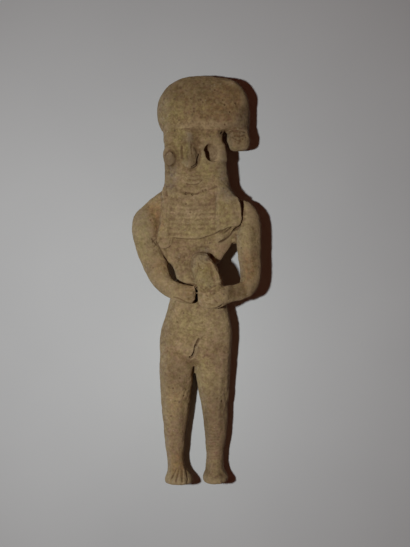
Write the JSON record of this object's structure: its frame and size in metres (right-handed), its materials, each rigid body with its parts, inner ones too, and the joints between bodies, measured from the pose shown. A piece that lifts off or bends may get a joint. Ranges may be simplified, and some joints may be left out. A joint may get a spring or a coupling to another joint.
{
  "type": "terracotta figure",
  "caption": "Hand-modelled standing figure of fired clay in a broad headdress, holding a small worn form at its belly. It lies on its flattened back.",
  "frame": {"origin": "middle of the figure's outline, on the surface it lies on", "axes": "+Y towards the top of the headdress, +Z from the flattened back to the front, +X towards the figure's left side"},
  "size_m": [0.057, 0.1802, 0.0274],
  "materials": {
    "terracotta": "unglazed buff fired clay, worn and dusty"
  },
  "bodies": {
    "root": {"terracotta_figure": "terracotta"}
  },
  "joints": []
}
